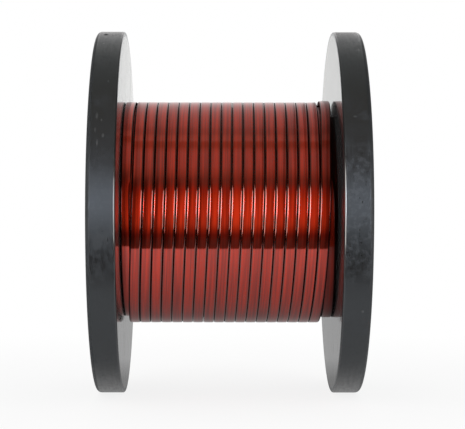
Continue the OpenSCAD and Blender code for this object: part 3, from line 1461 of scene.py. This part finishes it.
    def strip(self, name: str, begin: float, end: float, step: float) -> Piece:
        """Lays the wire from one angle to another.

        Args:
            name: The piece's name.
            begin: The first angle.
            end: The last angle.
            step: Degrees between rings of points.

        Returns:
            The piece, with the numbers that its finish reads.
        """
        section = self.section()[0]
        a = np.linspace(begin, end, int(round((end - begin) / step)) + 1)
        lean = self.wobble(a)[:, None]
        across = section[None, :, 0] - lean * section[None, :, 1]
        height = section[None, :, 1] + lean * section[None, :, 0]
        radius = self.inner_face(a)[:, None] + height
        turn = np.radians(a)
        made = Piece(name)
        made.sweep(round_axis(self.along_axis(a)[:, None] + across, radius, turn[:, None]))
        self.record(made, turn * self.outer_radius * MM)
        return made

    def cut(self) -> Piece:
        """The bare copper face at the wire's end.

        Returns:
            The piece.
        """
        section = self.section()[0]
        middle = (0.0, self.thickness / 2)
        rings = []
        for beyond, scale in self.CUT:
            a = np.array([self.end + beyond])
            across, height = ((section - middle) * scale + middle).T
            radius = self.inner_face(a) + height
            rings.append(round_axis(self.along_axis(a) + across, radius, np.radians(a)))
        made = Piece("outer_layer_cut")
        made.sweep(np.array(rings))
        return made

    def core(self) -> Piece:
        """The layers under the two outermost ones, with a groove between their turns.

        Returns:
            The piece.
        """
        end, bore, deep = self.core_half, self.core_bore, self.deep_radius
        turns = int(2 * end / self.pitch)
        side = end - self.crevice
        outline = [(bore, -end), (bore, end), (deep, end), (deep, side)]
        for i in range(turns, -1, -1):
            x = -end + 2 * end * i / turns
            if i < turns:
                outline.append((self.core_radius, min(x + self.groove[0], side)))
                outline.append((self.core_radius - self.groove[1], x))
            if i:
                outline.append((self.core_radius, min(x - self.groove[0], side)))
        made = Piece("inner_layers_core")
        made.sweep(turned(outline, self.CORE_SIDES), caps=False)
        made.points = [(z, x, y) for x, y, z in made.points]
        return made

    def build(self) -> list[bpy.types.Object]:
        """Builds the two layers of wire, the bare end and the core.

        Returns:
            These pieces.
        """
        slot = "enamelled_wire"
        outer = self.strip("outer_layer_wire", self.seam, self.end, self.OUTER_STEP)
        under = self.strip("inner_layer_wire", self.low_start, self.seam, self.INNER_STEP)
        return [
            hand_over(outer.make(Finishes.WIRE, sharp=60.0), slot, "outer_layer"),
            hand_over(self.cut().make(Finishes.COPPER, sharp=30.0), slot),
            hand_over(under.make(Finishes.INNER_WIRE, sharp=60.0), slot, "inner_layers"),
            hand_over(self.core().make(Finishes.CORE), slot, "inner_layers"),
        ]


# ---------------------------------------------------------------------------------------------
# Steel fittings
# ---------------------------------------------------------------------------------------------


@dataclass
class Bush(SidePart):
    """A turned steel bush with a collar, which lines a flange's bore."""

    bore: float = 15.0
    radius: float = 18.95
    collar: float = 25.0
    bottom: float = -6.0
    collar_bottom: float = 15.4
    top: float = 18.4
    chamfer: float = 0.8
    segments: int = 120

    def build(self) -> list[bpy.types.Object]:
        """Builds the bush.

        Returns:
            The bush.
        """
        outline = rounded([
            (self.bore, self.bottom, 0.5),
            (self.radius, self.bottom, 0.8),
            (self.radius, self.collar_bottom, 0.0),
            (self.collar, self.collar_bottom, 0.3),
            (self.collar, self.top, 0.7),
            (self.bore + self.chamfer, self.top, 0.15),
            (self.bore, self.top - self.chamfer, 0.15),
        ], 3)
        name = self.named("arbor_bush")
        made = Piece(f"{name}_turned")
        made.sweep(turned(outline, self.segments), caps=False)
        made = made.make(Finishes.BUSH, 40.0, self.place)
        return [hand_over(made, "bush_steel", name)]


@dataclass
class Washer:
    """A punched washer with one rolled edge."""

    bore: float = 4.25
    radius: float = 8.0
    bottom: float = 8.0
    top: float = 9.6
    segments: int = 64
    sharp: float = 40.0

    def solid(self) -> np.ndarray:
        """The washer, round its own axis.

        Returns:
            Its rings of points.
        """
        return turned(rounded([
            (self.bore, self.bottom, 0.12),
            (self.radius, self.bottom, 0.15),
            (self.radius, self.top, 0.55),
            (self.bore, self.top, 0.25),
        ]), self.segments)


@dataclass
class Nut:
    """A hexagon nut with both faces chamfered."""

    across_flats: float = 13.0
    bore: float = 4.05
    mouth: float = 4.5
    face: float = 6.15
    bottom: float = 9.6
    top: float = 16.1
    slope: float = math.tan(math.radians(30))
    segments: int = 96
    sharp: float = 20.0

    def solid(self) -> np.ndarray:
        """The nut, round its own axis.

        Returns:
            Its rings of points.
        """
        rings = []
        for i in range(self.segments):
            turn = 2 * math.pi * i / self.segments
            off = (turn + math.pi / 6) % (math.pi / 3) - math.pi / 6
            reach = self.across_flats / 2 / math.cos(math.pi / 6 - abs(off))
            drop = (reach - self.face) * self.slope
            lead = self.mouth - self.bore
            section = [
                (self.bore, self.bottom + lead), (self.mouth, self.bottom),
                (self.face, self.bottom), (reach, self.bottom + drop),
                (reach, self.top - drop), (self.face, self.top),
                (self.mouth, self.top), (self.bore, self.top - lead),
            ]
            rings.append([(r * math.cos(turn), r * math.sin(turn), z) for r, z in section])
        return np.array(rings)


@dataclass
class TieRod(Assembly):
    """A tie rod with a rolled thread and a chamfer at both ends."""

    number: int
    radius: float = 3.97
    root: float = 3.42
    reach: float = 89.4
    pitch: float = 1.25
    threaded: float = 14.0
    runout: float = 1.5
    flank: float = 2.6
    crest: float = 0.15
    point: float = 3.1
    steps: int = 10
    segments: int = 30

    def build(self) -> list[bpy.types.Object]:
        """Builds the rod.

        Returns:
            The rod.
        """
        begin = self.reach - self.threaded
        count = int(self.threaded / self.pitch * self.steps)
        tip = np.linspace(begin, self.reach, count)
        along = np.concatenate([-tip[::-1], tip])
        turn = np.arange(self.segments) * (2 * math.pi / self.segments)
        phase = (along[:, None] / self.pitch - turn[None, :] / (2 * math.pi)) % 1.0
        depth = np.clip(self.flank * np.abs(phase - 0.5) - self.crest, 0.0, 1.0)
        fade = np.clip((np.abs(along) - begin) / self.runout, 0.0, 1.0)[:, None]
        radius = self.radius - (self.radius - self.root) * depth * fade
        radius = np.minimum(radius, self.point + (self.reach - np.abs(along))[:, None])
        rings = np.stack([
            np.broadcast_to(along[:, None], radius.shape),
            radius * np.cos(turn), radius * np.sin(turn),
        ], axis=2)
        u, v = on_circle(ROD_ANGLES[self.number - 1])
        made = Piece(f"tie_rod_{self.number}_threaded")
        made.sweep(rings)
        made = made.make(Finishes.ROD, 50.0, lambda p: (p[0], p[1] + v, p[2] - u))
        return [hand_over(made, "rod_steel", f"tie_rod_{self.number}")]


@dataclass
class Fasteners(SidePart):
    """The four washers and the four nuts of one flange, each turned a little differently."""

    settle: float = 17.0

    def build(self) -> list[bpy.types.Object]:
        """Builds the washers, then the nuts."""
        return [self._set("washers", Washer()), self._set("nuts", Nut())]

    def _set(self, kind: str, shape: Union[Washer, Nut]) -> bpy.types.Object:
        """Builds four of a kind.

        Args:
            kind: What they are called.
            shape: One of them.

        Returns:
            The four, as one piece.
        """
        node = self.named(kind)
        made = Piece(f"{node}_set")
        rings = shape.solid()
        for number, angle in enumerate(ROD_ANGLES):
            c, s = direction(angle + self.settle * number)
            settled = rings @ np.array([[c, s, 0], [-s, c, 0], [0, 0, 1]])
            made.sweep(settled + np.array([*on_circle(angle), 0.0]), caps=False)
        return hand_over(made.make(Finishes.ZINC, shape.sharp, self.place), "zinc_steel", node)


# ---------------------------------------------------------------------------------------------
# Wire ends and tape
# ---------------------------------------------------------------------------------------------


@dataclass
class StartTail(SidePart):
    """The wire's start: out through the slot, bent over and laid flat on the flange's web."""

    wire: Winding
    radius: float = 65.85
    bend: float = 4.65
    bottom: float = -0.1
    bend_from: float = 1.8
    reach: float = 15.0
    narrow: float = 0.94

    # Places on the way up, in the bend and on the way out.
    STEPS: ClassVar[tuple[int, int, int]] = (4, 15, 12)

    # Rings of the bare end: millimetres past the wire's end, and size.
    CUT: ClassVar[tuple[Point2, ...]] = ((-0.2, 0.97), (0.04, 0.97), (0.10, 0.93))

    def route(self) -> np.ndarray:
        """Leads the wire out.

        Returns:
            Places along its middle, as (out from the axis, height, lean in radians).
        """
        foot, knee, over = self.radius, self.bend_from, math.pi / 2
        top, first = knee + self.bend, foot + self.bend
        up, bend, out = self.STEPS
        rise = [(foot, z, 0.0) for z in np.linspace(self.bottom, knee, up)[:-1]]
        arc = [
            (first - self.bend * math.cos(t), knee + self.bend * math.sin(t), t)
            for t in np.linspace(0, over, bend)
        ]
        lie = [(u, top, over) for u in np.linspace(first, first + self.reach, out)[1:]]
        return np.array(rise + arc + lie)

    def rings(self, section: np.ndarray, route: np.ndarray, scale: float = 1.0) -> np.ndarray:
        """Lays a section along a route.

        Args:
            section: Its points as (across, height).
            route: Places along the wire's middle.
            scale: How large the section is drawn.

        Returns:
            Rings of points on the flange's axes.
        """
        across = section[:, 0] * self.narrow * scale
        height = (section[:, 1] - self.wire.thickness / 2) * scale
        u = route[:, 0:1] - height * np.cos(route[:, 2:3])
        z = route[:, 1:2] + height * np.sin(route[:, 2:3])
        c, s = direction(SLOT_ANGLE)
        return np.stack([u * c - across * s, u * s + across * c, z], axis=2)

    def build(self) -> list[bpy.types.Object]:
        """Builds the tail and its bare end.

        Returns:
            These two pieces.
        """
        section = self.wire.section()[0]
        route = self.route()
        tail = Piece("start_tail_wire")
        tail.sweep(self.rings(section, route))
        steps = np.hypot(np.diff(route[:, 0]), np.diff(route[:, 1]))
        self.wire.record(tail, np.concatenate([[0.0], np.cumsum(steps)]) * MM)
        cut = Piece("start_tail_cut")
        cut.sweep(np.concatenate([
            self.rings(section, route[-1:] + (beyond, 0, 0), scale) for beyond, scale in self.CUT
        ]))
        slot = "enamelled_wire"
        return [
            hand_over(tail.make(Finishes.WIRE, 60.0, self.place), slot, "start_tail"),
            hand_over(cut.make(Finishes.COPPER, 30.0, self.place), slot),
        ]


@dataclass
class EndTape(Assembly):
    """Paper tape laid over the wire's end and sagging into the gaps and past the cut."""

    wire: Winding
    begin: float = 168.0
    finish: float = 226.0
    left: float = 44.3
    right: float = 70.3
    thickness: float = 0.22
    clearance: float = 0.06
    tooth: float = 1.6
    depth: float = 0.45
    sag: float = 0.35
    valley: float = 0.8
    drop: float = 2.2
    turns: tuple[int, int] = (10, 20)
    grid: tuple[int, int] = (79, 64)

    # Where it drops: degrees past the wire's end, and millimetres from the wire's left edge.
    PAST: ClassVar[Point2] = (0.4, 5)
    BESIDE: ClassVar[Point2] = (-0.8, 2.4)

    def radius(self, x: np.ndarray, angle: np.ndarray) -> np.ndarray:
        """Lays the tape on the wire.

        Args:
            x: Places along the axis.
            angle: Angles round it.

        Returns:
            The radius of the tape's underside at each.
        """
        wire = self.wire
        low = np.zeros_like(x)
        for turn in range(*self.turns):
            middle = wire.along_axis(turn * FULL_TURN + angle)
            off = np.abs(np.abs(x - middle) - wire.pitch / 2)
            low = np.maximum(low, 1 - off / self.valley)
        past = wire.step(angle - (wire.end - wire.last_turn), self.PAST)
        last = wire.along_axis(np.full_like(x, wire.end))
        beside = wire.step(x - (last - wire.width / 2), self.BESIDE)
        top = wire.outer_radius + self.clearance
        return top - self.sag * wire.ease(low) - self.drop * past * beside

    def build(self) -> list[bpy.types.Object]:
        """Builds the tape.

        Returns:
            The tape.
        """
        x = np.linspace(self.left, self.right, self.grid[0])
        share = np.linspace(0, 1, self.grid[1])
        tooth = np.abs((x / self.tooth) % 1.0 - 0.5) * 2 * self.depth
        first = self.begin + tooth
        angle = first[None, :] + (self.finish - tooth - first)[None, :] * share[:, None]
        place = np.broadcast_to(x, angle.shape)
        low = self.radius(place, angle)
        under, over = (
            round_axis(place, radius, np.radians(angle)) for radius in (low, low + self.thickness)
        )
        made = Piece("end_tape_sheet")
        made.sweep(np.concatenate([under, over[:, ::-1]], axis=1))
        return [hand_over(made.make(Finishes.TAPE, sharp=50.0), "tape", "end_tape")]


@dataclass
class Inside(Assembly):
    """The hidden solids that stay as they are and only get their finishes."""

    FINISHES: ClassVar[dict[str, Finishes]] = {
        "barrel": Finishes.BARREL,
        "barrel_liner": Finishes.PAPER,
        "arbor_tube": Finishes.TUBE,
    }

    def build(self) -> list[bpy.types.Object]:
        """Dresses the solids.

        Returns:
            These solids.
        """
        nodes = []
        for name, finish in self.FINISHES.items():
            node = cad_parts[name]
            node.data.materials.clear()
            node.data.materials.append(finish.value.material())
            nodes.append(node)
        return nodes


# ---------------------------------------------------------------------------------------------
# Surroundings
# ---------------------------------------------------------------------------------------------


@dataclass
class Studio:
    """A pale floor, a white backdrop, soft lamps and what gloss mirrors."""

    floor_z: float = -0.125
    floor_size: float = 20.0
    floor_front: float = -0.2035
    ambient: float = 0.62
    panels: Point2 = (3.5, 2.0)
    near_tint: Colour = (0.85, 0.93, 1.08)
    far_tint: Colour = (1.0, 0.98, 0.92)
    brightest: float = 1.35
    floor_reach: float = 250.0

    # Name, place, size in metres and power in watts.
    LAMPS: ClassVar[tuple[tuple[str, Point3, float, float], ...]] = (
        ("key_softbox", (-0.9, -1.1, 1.5), 1.4, 5.5),
        ("fill_softbox", (1.1, -0.8, 1.2), 1.2, 3.0),
        ("back_softbox", (0.0, 1.2, 1.6), 1.4, 6.0),
    )

    # What a level mirror turned about X sees, as (degrees, colour): 0 is the front, 90 is
    # straight up and 180 is the backdrop.
    SURROUND: ClassVar[tuple[tuple[float, Colour], ...]] = (
        (-90, (0.12, 0.10, 0.09)), (-30, (0.19, 0.13, 0.10)), (-23, (0.24, 0.14, 0.10)),
        (-18, (0.53, 0.50, 0.48)), (-12, (0.92, 1.02, 1.04)), (-7, (1.05, 1.07, 1.06)),
        (0, (1.10, 1.05, 1.00)), (11, (0.91, 0.90, 0.85)), (17, (0.72, 0.72, 0.66)),
        (23, (0.54, 0.31, 0.21)), (28, (0.34, 0.22, 0.15)), (33, (0.30, 0.22, 0.16)),
        (41, (0.45, 0.35, 0.26)), (48, (0.54, 0.47, 0.40)), (62, (0.56, 0.50, 0.44)),
        (67, (0.50, 0.43, 0.35)), (71, (0.40, 0.29, 0.20)), (77, (0.41, 0.31, 0.22)),
        (79, (0.52, 0.52, 0.45)), (85, (0.49, 0.48, 0.41)), (88, (0.41, 0.40, 0.35)),
        (94, (0.43, 0.42, 0.38)), (101, (0.52, 0.53, 0.50)), (121, (0.60, 0.60, 0.58)),
        (140, (0.66, 0.66, 0.66)), (160, (0.80, 0.78, 0.78)), (169, (0.98, 0.97, 0.97)),
        (174, (1.34, 1.34, 1.33)),
    )

    # What gloss sees of the floor, as (millimetres behind the axis, brightness): a painted shadow,
    # darkest under and just behind the spool.
    FLOOR_PAINTED_SHADOW: ClassVar[tuple[Point2, ...]] = (
        (-200, 0.96), (-150, 0.89), (-110, 0.78), (-70, 0.64), (-40, 0.53), (-14, 0.43),
        (10, 0.34), (30, 0.30), (80, 0.30), (250, 0.49),
    )

    def build(self) -> None:
        """Makes the world, the floor and the lamps."""
        self._world()
        self._floor()
        for lamp in self.LAMPS:
            self._lamp(*lamp)

    def _world(self) -> None:
        """White for the camera, the studio for gloss, and an even light for the rest."""
        world = bpy.data.worlds.new("studio")
        bpy.context.scene.world = world
        graph = Graph(world)
        x, y, z = graph.parts(graph.node("ShaderNodeTexCoord", output="Generated"))
        to_degrees = math.degrees(1)
        tilt = x.maths("ARCTAN2", z, -y) * to_degrees
        stops = [
            ((angle + 180) / FULL_TURN, tuple(v / self.brightest for v in colour))
            for angle, colour in self.SURROUND
        ]
        ring = graph.node("ShaderNodeValToRGB", {"stops": stops}, {0: (tilt + 180) / FULL_TURN})
        aside = x.maths("ARCTAN2", x, -y) * to_degrees
        rise = x.maths("ARCSINE", z) * to_degrees

        # Dimmer beside the middle: a wide dip in the level band, a narrow one over and under it.
        level = abs(tilt).rising(40, 26)
        dip = x.rising(-0.033, -0.050) * 0.66 + x.rising(0.0585, 0.065) * 0.56
        dip = dip * level * abs(x).rising(0.30, 0.20)
        upper = 0.28 + 0.30 * tilt.rising(0, 30)
        ends = x.rising(-0.050, -0.058) * 0.38 + x.rising(0.058, 0.064) * upper
        dip = dip + ends * (1 - level) * abs(x).rising(0.10, 0.08)

        flank = abs(x).rising(0.14, 0.34) * 0.62
        left = self._panel(aside * -1, rise, (0.05, 26.5, 23.0), (0.03, -20.5, -17.0))
        right = self._panel(aside, rise, (0.14, 24.8, 23.2), (0.115, -21.6, -20.1))
        near, far = (left[i] * self.panels[0] + right[i] * self.panels[1] for i in (0, 1))
        pole = abs(x).rising(0.93, 0.98)
        seen = graph.scaled(ring, self.brightest * (1 - dip) * (1 - flank) * (1 - pole))
        seen = graph.vector("ADD", seen, graph.scaled(self.near_tint, near))
        seen = graph.vector("ADD", seen, graph.scaled(self.far_tint, far))
        seen = graph.vector("ADD", seen, graph.scaled(WHITE, pole * 0.6))
        camera, gloss, glass = graph.rays("Camera", "Glossy", "Transmission")
        plain = camera + (1 - camera) * glass + (1 - camera) * (1 - glass) * self.ambient
        shown = graph.mix(gloss, graph.point(plain, plain, plain), seen)
        back = graph.node("ShaderNodeBackground", inputs={"Color": shown, "Strength": 1.0})
        graph.node("ShaderNodeOutputWorld", inputs={"Surface": back})

    @staticmethod
    def _panel(aside: Signal, rise: Signal, top: Point3, low: Point3) -> tuple[Signal, Signal]:
        """A tall softbox on one side, whose edges close in towards its far end.

        Args:
            aside: Degrees towards its side.
            rise: Degrees above the horizon.
            top: How much the top edge sinks with each degree aside, and where it ends.
            low: The same for the bottom edge, which rises.

        Returns:
            The brightness of its near end and of the rest.
        """
        near = aside.rising(9, 13) * aside.rising(28, 22) * rise.rising(-8, 2) * 3.1
        near = near * rise.rising(24, 8)
        far = aside.rising(22, 28) * (0.45 + 0.55 * aside.rising(66, 54)) * aside.rising(86, 78)
        far = far * (rise - aside * low[0]).rising(low[1], low[2])
        return near, far * (rise + aside * top[0]).rising(top[1], top[2])

    def _floor(self) -> None:
        """A pale floor that keeps the spool's shadow, with a painted shadow under and behind the
        spool in what gloss and bounced light see of it.
        """
        material = bpy.data.materials.new("pale_floor")
        graph = Graph(material)
        x, y, _ = graph.parts(graph.position())
        camera, gloss = graph.rays("Camera", "Glossy")
        reach = self.floor_reach
        stops = [((place + reach) / (2 * reach), (v, v, v)) for place, v in self.FLOOR_PAINTED_SHADOW]
        ramp = graph.node(
            "ShaderNodeValToRGB", {"stops": stops}, {0: (y / MM + reach) / (2 * reach)}
        )
        # Every ray but the camera's sees the painted shadow of the floor.
        tint = graph.mix(camera, ramp, WHITE)
        matt = graph.node("ShaderNodeBsdfDiffuse", inputs={"Color": tint})
        glow = graph.node("ShaderNodeEmission", inputs={"Color": tint, "Strength": 1.0})
        far = (x * x + y * y) ** 0.5
        share = camera * (0.85 + 0.15 * far.rising(0.25, 0.6)) + gloss * 0.9
        pale = graph.node("ShaderNodeMixShader", inputs={0: share, 1: matt, 2: glow})
        clear = graph.node("ShaderNodeBsdfTransparent")
        beyond = gloss * y.rising(self.floor_front + 0.004, self.floor_front - 0.004)
        graph.finish(graph.node("ShaderNodeMixShader", inputs={0: beyond, 1: pale, 2: clear}))
        mesh = bpy.data.meshes.new("floor")
        size = self.floor_size
        corners = ((-size, -size), (size, -size), (size, size), (-size, size))
        mesh.from_pydata([(*corner, self.floor_z) for corner in corners], [], [(0, 1, 2, 3)])
        mesh.materials.append(material)
        floor = bpy.data.objects.new("floor", mesh)
        bpy.context.scene.collection.objects.link(floor)

    @staticmethod
    def _lamp(name: str, place: Sequence[float], size: float, power: float) -> None:
        """Adds a square soft lamp that looks at the spool and doesn't show in gloss.

        Args:
            name: Its name.
            place: Where it hangs.
            size: The length of its sides.
            power: Its power.
        """
        data = bpy.data.lights.new(name, "AREA")
        data.size = size
        data.energy = power
        lamp = bpy.data.objects.new(name, data)
        lamp.location = place
        lamp.rotation_mode = "QUATERNION"
        lamp.rotation_quaternion = (-Vector(place)).to_track_quat("-Z", "Y")
        lamp.visible_glossy = False
        bpy.context.scene.collection.objects.link(lamp)


@dataclass
class Camera:
    """The camera, level with the axis and straight in front."""

    distance: float = 1.11785
    yaw: float = 0.0067
    roll: float = -0.0014
    lens: float = 124.01
    sensor: float = 36.0
    shift: Point2 = (0.00872, -0.00487)
    far: float = 50.0

    def build(self) -> None:
        """Makes it the scene's camera."""
        data = bpy.data.cameras.new("camera")
        data.lens = self.lens
        data.sensor_width = self.sensor
        data.shift_x, data.shift_y = self.shift
        data.clip_end = self.far
        camera = bpy.data.objects.new("camera", data)
        place = Vector((-math.sin(self.yaw), -math.cos(self.yaw), 0.0)) * self.distance
        camera.location = place
        camera.rotation_mode = "XYZ"
        camera.rotation_euler = (math.pi / 2, self.roll, -self.yaw)
        bpy.context.scene.collection.objects.link(camera)
        bpy.context.scene.camera = camera


def main() -> None:
    """Builds the spool, then the studio and the camera."""
    logging.basicConfig(level=logging.INFO, format="%(message)s")
    parts: list[Assembly] = []
    for side in (-1, 1):
        parts += [Flange(side), Bush(side), Fasteners(side)]
    parts += [TieRod(number) for number in range(1, len(ROD_ANGLES) + 1)]
    winding = Winding()
    parts += [winding, StartTail(1, winding), EndTape(winding), Inside()]
    for part in parts:
        for piece in part.build():
            log.info("%s: %d faces", piece.name, len(piece.data.polygons))
    Studio().build()
    Camera().build()
    bpy.context.scene.view_settings.view_transform = "Standard"


if __name__ == "__main__":
    main()
